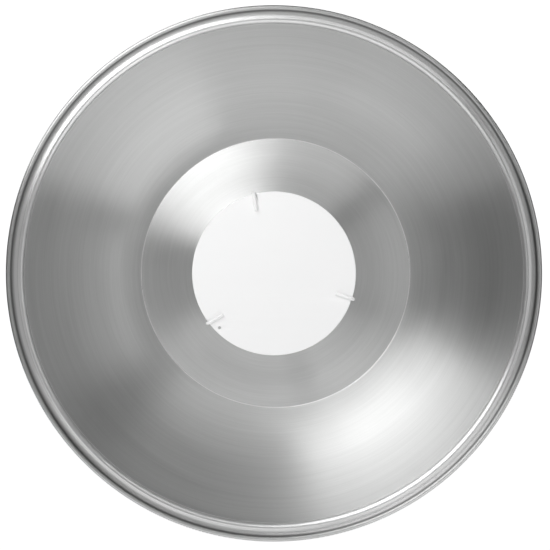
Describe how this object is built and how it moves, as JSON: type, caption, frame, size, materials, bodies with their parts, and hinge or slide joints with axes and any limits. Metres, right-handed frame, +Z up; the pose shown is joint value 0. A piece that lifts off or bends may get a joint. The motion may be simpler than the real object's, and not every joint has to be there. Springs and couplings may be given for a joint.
{
  "type": "studio flash reflector",
  "caption": "Round spun aluminium softlight reflector with a white deflector disc on three rods and a rear collar clamped by an over-centre latch.",
  "frame": {"origin": "centre of the collar's rear face, where the flash head enters", "axes": "+Y along the optical axis, out of the collar's rear, so the mouth faces -Y; +Z up, through the latch"},
  "size_m": [0.52, 0.14, 0.52],
  "materials": {
    "spun_aluminium": "circular brushed",
    "white_enamel": "matt",
    "zinc_steel": "zinc plated",
    "turned_aluminium": "turned satin",
    "rivet_aluminium": "satin",
    "black_rubber": "matt",
    "stainless_steel": "brushed"
  },
  "bodies": {
    "dish": {"reflector_bowl": "spun_aluminium", "deflector_disc": "white_enamel", "deflector_rod_1": "white_enamel", "deflector_rod_2": "white_enamel", "deflector_rod_3": "white_enamel", "rod_front_nuts": "zinc_steel", "rod_washers": "zinc_steel", "rod_back_nuts": "zinc_steel", "neck_tube": "turned_aluminium", "neck_rivets": "rivet_aluminium", "rubber_liner": "black_rubber", "clamp_band": "stainless_steel", "band_anchor_rivet": "rivet_aluminium", "latch_base": "stainless_steel", "base_rivets": "rivet_aluminium", "keeper_hook": "stainless_steel", "keeper_rivets": "rivet_aluminium", "lever_pin": "zinc_steel"},
    "lever": {"latch_lever": "stainless_steel"},
    "link": {"latch_link": "zinc_steel"}
  },
  "joints": [
    {"name": "lever_swing", "type": "hinge", "parent": "dish", "child": "lever", "pos_m": [-0.008, -0.016, 0.063], "axis": [0, 1, 0], "range_deg": [0, 120]},
    {"name": "link_swing", "type": "hinge", "parent": "lever", "child": "link", "pos_m": [-0.017, -0.016, 0.0622], "axis": [0, 1, 0], "range_deg": [-94, 0]}
  ],
  "couplings": [
    {"joint": "link_swing", "follows": "lever_swing", "ratio": -0.781}
  ]
}
